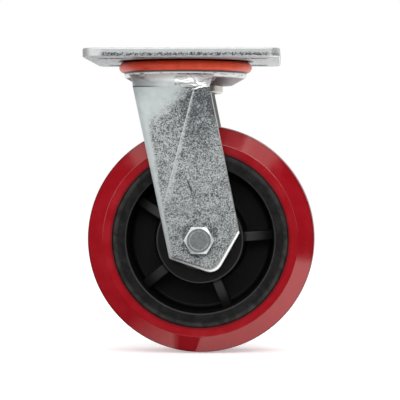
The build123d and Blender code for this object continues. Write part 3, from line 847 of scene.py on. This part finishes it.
# ---------------------------------------------------------------------------- threads
def thread(name, body, foot, direction, length, root, crest, pitch):
    """A screw thread round a bolt's end: one ridge wound along direction from foot."""
    steps_per_turn = 48
    lead = 0.4  # turns over which the ridge rises from the root and sinks back
    end_room = 0.45  # pitches left plain at each end
    sink = 0.05 * MM  # how deep the ridge's foot lies in the bolt
    foot_half_width = 0.44 * pitch
    crest_half_width = 0.07 * pitch
    frame_turn = Vector(direction).to_track_quat("Z", "Y").to_matrix()
    turns = length / pitch - 2 * end_room
    steps = int(turns * steps_per_turn)
    corners = []
    for step in range(steps + 1):
        turn = step / steps_per_turn
        rise = min(1.0, turn / lead, (turns - turn) / lead)
        top = root + (crest - root) * max(0.0, rise)
        middle = pitch * (turn + end_room)
        profile = (
            (root - sink, middle - foot_half_width),
            (top, middle - crest_half_width),
            (top, middle + crest_half_width),
            (root - sink, middle + foot_half_width),
        )
        angle = 2 * math.pi * turn
        for radius, along in profile:
            place = Vector((radius * math.cos(angle), radius * math.sin(angle), along))
            corners.append(Vector(foot) + frame_turn @ place)
    faces = [(3, 2, 1, 0), tuple(4 * steps + corner for corner in range(4))]
    for here in range(0, 4 * steps, 4):
        for corner in range(4):
            following = (corner + 1) % 4
            faces.append((here + corner, here + following, here + 4 + following, here + 4 + corner))
    mesh = bpy.data.meshes.new(name)
    mesh.from_pydata(corners, [], faces)
    mesh.validate()
    mesh.materials.append(thread_finish)
    ridge = bpy.data.objects.new(name, mesh)
    bpy.context.scene.collection.objects.link(ridge)
    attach(ridge, body)


def add_threads():
    nut_end = Vector((axle.x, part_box("axle_nut")[1].y, axle.z))
    bolt_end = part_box("axle_bolt")[1].y
    thread(
        "axle_thread", "fork", nut_end, (0, 1, 0), bolt_end - nut_end.y,
        root=4.05 * MM, crest=4.7 * MM, pitch=1.25 * MM,
    )
    nut_foot = Vector((0, 0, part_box("kingpin_nut")[0].z))
    kingpin_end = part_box("kingpin")[0].z
    thread(
        "kingpin_thread", "plate", nut_foot, (0, 0, -1),
        nut_foot.z - kingpin_end, root=5.2 * MM, crest=5.95 * MM, pitch=1.25 * MM,
    )


add_threads()


# ------------------------------------------------------------------- floor and light
def seen_rays(tree):
    """1 for a ray that shows a thing, straight, mirrored or through glass, else 0."""
    path = tree.nodes.new("ShaderNodeLightPath")
    seen = path.outputs["Is Camera Ray"]
    for kind in ("Is Glossy Ray", "Is Transmission Ray"):
        either = tree.nodes.new("ShaderNodeMath")
        either.operation = "MAXIMUM"
        tree.links.new(seen, either.inputs[0])
        tree.links.new(path.outputs[kind], either.inputs[1])
        seen = either.outputs[0]
    return seen


def stage_mesh(name, corners, faces, material):
    mesh = bpy.data.meshes.new(name)
    mesh.from_pydata(corners, [], faces)
    mesh.materials.append(material)
    thing = bpy.data.objects.new(name, mesh)
    bpy.context.scene.collection.objects.link(thing)
    return thing


def make_floor(own_light):
    """A matt white table. A little light of its own keeps it white far from the lamps."""
    half = 6.0
    finish = Finish("floor_white", Roughness=0.9, Specular_IOR_Level=0.0)
    finish.surface.inputs["Base Color"].default_value = grey(floor_white)
    finish.surface.inputs["Emission Color"].default_value = grey(1.0)
    finish.set(Emission_Strength=finish.times(seen_rays(finish.tree), own_light))
    corners = [(x * half, y * half, floor_z) for x, y in ((-1, -1), (1, -1), (1, 1), (-1, 1))]
    stage_mesh("floor", corners, [(0, 1, 2, 3)], finish.material)


def make_world(diffuse_level):
    """White where it is seen, straight or in a reflection, and softer as a light."""
    world = bpy.data.worlds.new("studio")
    world.use_nodes = True
    bpy.context.scene.world = world
    tree = world.node_tree
    background = tree.nodes["Background"]
    level = tree.nodes.new("ShaderNodeMapRange")
    level.inputs["To Min"].default_value = diffuse_level
    level.inputs["To Max"].default_value = 1.0
    tree.links.new(seen_rays(tree), level.inputs["Value"])
    tree.links.new(level.outputs["Result"], background.inputs["Strength"])
    background.inputs["Color"].default_value = grey(1.0)


def round_the_swivel(angle, reach, height):
    """A place at an angle round the swivel axis."""
    return (reach * math.cos(angle), reach * math.sin(angle), height)


def angles(first, last, steps):
    """Even steps from one angle to another, given in degrees, in radians."""
    return [math.radians(first + (last - first) * step / steps) for step in range(steps + 1)]


def surround_card():
    """Rows of (corner, whiteness) for the card that lies and stands round the castor.

    It lies on the table, closest at the left and furthest off at the right, and stands up
    round its far edge, low in front and high at the sides. It is white at both its rims.
    """
    near_left, near_right = 0.005, 0.26
    fade_left, fade_right = 0.05, 0.10
    top_front, top_side = 0.30, 2.6
    top_fade = 0.12
    far_edge = 2.6
    on_table = floor_z + 0.5 * MM
    rows = []
    for angle in angles(165, 375, 40):
        sideways = math.cos(angle) ** 2
        rightness = (0.5 + 0.5 * math.cos(angle)) ** 3
        near = near_left + (near_right - near_left) * rightness
        fade = fade_left + (fade_right - fade_left) * rightness
        top = top_front + (top_side - top_front) * sideways
        profile = (
            (near, on_table, 1.0),
            (near + fade, on_table, 0.0),
            (far_edge, on_table, 0.0),
            (far_edge, top, 0.0),
            (far_edge, top + top_fade, 1.0),
        )
        rows.append(
            [(round_the_swivel(angle, reach, height), white) for reach, height, white in profile]
        )
    return rows


def contact_shadow_card():
    """Rows of (corner, whiteness) for a dark strip by the wheel's foot that stands in for its contact shadow in
    reflections, and fades at its left end.
    """
    inner, outer = 0.012, 0.032
    over_surround = floor_z + 1.0 * MM
    first_white, white_step = 0.8, 0.4
    rows = []
    for step, angle in enumerate(angles(244, 291, 6)):
        white = max(0.0, first_white - white_step * step)
        rows.append(
            [(round_the_swivel(angle, reach, over_surround), white) for reach in (inner, outer)]
        )
    return rows


def make_dark_cards(level):
    """Dark cards before and beside the castor, as in a studio, for gloss and metal to mirror.

    Only reflections show them. Behind the castor all is white, and towards their rims the
    cards fade to white too, by the whiteness that each corner carries.
    """
    finish = Finish("dark_card", Base_Color=grey(0.0), Specular_IOR_Level=0.0)
    finish.surface.inputs["Emission Color"].default_value = grey(1.0)
    whiteness = finish.add("ShaderNodeAttribute", attribute_name="whiteness").outputs["Fac"]
    finish.set(Emission_Strength=finish.ease(whiteness, 0.0, 1.0, level, 1.0))
    corners = []
    faces = []
    whites = []
    for rows in (surround_card(), contact_shadow_card()):
        width = len(rows[0])
        for row_index, row in enumerate(rows):
            for column, (corner, white) in enumerate(row):
                here = len(corners)
                corners.append(corner)
                whites.append(white)
                if row_index and column:
                    faces.append((here, here - 1, here - 1 - width, here - width))
    cards = stage_mesh("dark_cards", corners, faces, finish.material)
    attribute = cards.data.attributes.new("whiteness", "FLOAT", "POINT")
    attribute.data.foreach_set("value", whites)
    cards.visible_camera = False
    cards.visible_diffuse = False
    cards.visible_shadow = False


def aim(thing, place, target):
    thing.location = place
    thing.rotation_euler = (Vector(target) - Vector(place)).to_track_quat("-Z", "Y").to_euler()


def softbox(name, place, size, brightness):
    """A square lamp that looks at the axle. Its face is brightness times white."""
    light = bpy.data.lights.new(name, "AREA")
    light.size = size
    light.energy = brightness * math.pi * size**2
    lamp = bpy.data.objects.new(name, light)
    bpy.context.scene.collection.objects.link(lamp)
    aim(lamp, place, axle)


floor_white = 0.93
sky_level = 0.65
make_floor(own_light=1 - floor_white * sky_level)
make_world(sky_level)
make_dark_cards(level=0.055)
softbox("key", (1.0, -1.2, 1.1), size=1.0, brightness=2.8)
softbox("top", (0.1, 0.1, 1.5), size=1.2, brightness=1.2)
softbox("left", (-1.3, -1.1, 0.35), size=1.0, brightness=2.0)
softbox("front", (-0.1, -1.7, 0.8), size=1.2, brightness=1.9)
softbox("right", (1.25, -1.55, 0.2), size=0.5, brightness=2.0)

# ----------------------------------------------------------------------------- camera
camera_place = (0.055, -1.150, -0.0625)
camera_target = (0.008, 0.0, -0.0814)
camera = bpy.data.objects.new("camera", bpy.data.cameras.new("camera"))
camera.data.sensor_width = 36.0
camera.data.lens = 186.9
camera.data.clip_start = 0.05
bpy.context.scene.collection.objects.link(camera)
aim(camera, camera_place, camera_target)
bpy.context.scene.camera = camera
bpy.context.scene.view_settings.view_transform = "Standard"
